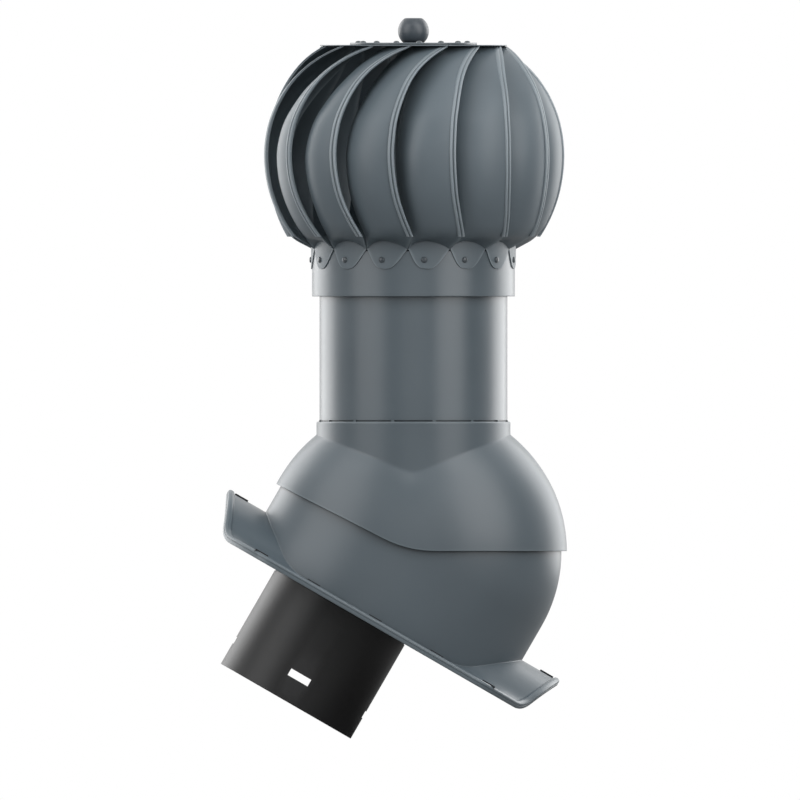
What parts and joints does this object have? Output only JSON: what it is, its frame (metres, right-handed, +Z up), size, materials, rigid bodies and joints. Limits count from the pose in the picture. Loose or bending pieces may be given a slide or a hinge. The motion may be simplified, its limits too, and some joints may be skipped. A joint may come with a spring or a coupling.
{
  "type": "roof turbine ventilator",
  "caption": "Wind-driven roof turbine ventilator: slotted globe rotor on an insulated pipe, on a pitch-adjustable domed hood with an arched base plate and a duct spigot below.",
  "frame": {"origin": "centre of the duct spigot's open mouth, on the spigot's axis", "axes": "+Z straight up along the rotor's axis, +X horizontal towards the downslope side, +Y along the eaves; the roof normal is (0.5, 0, 0.866)"},
  "size_m": [0.3461, 0.304, 0.7207],
  "materials": {
    "graphite_sheet": "satin paint",
    "graphite_rivet": "satin paint",
    "dark_knob": "satin paint",
    "graphite_moulding": "fine satin",
    "black_plastic": "matte",
    "black_pad": "matte",
    "seal_rubber": "matte",
    "zinc_steel": "zinc plated",
    "galvanised_sheet": "galvanised",
    "bright_steel": "turned",
    "bearing_steel": "ground",
    "mineral_wool": "fibrous",
    "duct_foil": "foil"
  },
  "bodies": {
    "base": {"base_shell": "graphite_moulding", "spigot_pipe": "black_plastic", "spigot_carrier": "black_plastic", "carrier_screws": "zinc_steel", "plate_foam": "seal_rubber", "plate_pads": "black_pad", "hood_seal": "seal_rubber", "pivot_pins": "zinc_steel", "flex_duct": "duct_foil"},
    "head": {"hood_cap": "graphite_moulding", "pivot_yoke": "galvanised_sheet", "yoke_screws": "zinc_steel", "outer_pipe": "graphite_sheet", "inner_pipe": "galvanised_sheet", "pipe_insulation": "mineral_wool", "cover_ring": "galvanised_sheet", "cross_bracket": "galvanised_sheet", "bracket_rivets": "zinc_steel", "spindle": "bright_steel", "spindle_spacer": "galvanised_sheet", "spindle_nuts": "zinc_steel", "lower_inner_ring": "bearing_steel", "upper_inner_ring": "bearing_steel"},
    "rotor": {"hub_tube": "galvanised_sheet", "snap_rings": "zinc_steel", "lower_outer_ring": "bearing_steel", "upper_outer_ring": "bearing_steel", "vane_01": "graphite_sheet", "vane_02": "graphite_sheet", "vane_03": "graphite_sheet", "vane_04": "graphite_sheet", "vane_05": "graphite_sheet", "vane_06": "graphite_sheet", "vane_07": "graphite_sheet", "vane_08": "graphite_sheet", "vane_09": "graphite_sheet", "vane_10": "graphite_sheet", "vane_11": "graphite_sheet", "vane_12": "graphite_sheet", "vane_13": "graphite_sheet", "vane_14": "graphite_sheet", "vane_15": "graphite_sheet", "top_disc": "graphite_sheet", "rotor_collar": "graphite_sheet", "disc_rivets": "graphite_rivet", "collar_rivets": "graphite_rivet", "ball_knob": "dark_knob", "knob_nut": "zinc_steel"}
  },
  "joints": [
    {"name": "pitch_adjust", "type": "hinge", "parent": "base", "child": "head", "pos_m": [0.12776, 0, 0.14909], "axis": [0, 1, 0], "range_deg": [-8, 15], "deforming": ["flex_duct"]},
    {"name": "rotor_spin", "type": "hinge", "parent": "head", "child": "rotor", "pos_m": [0.12776, 0, 0.54609], "axis": [0, 0, 1], "continuous": true}
  ]
}
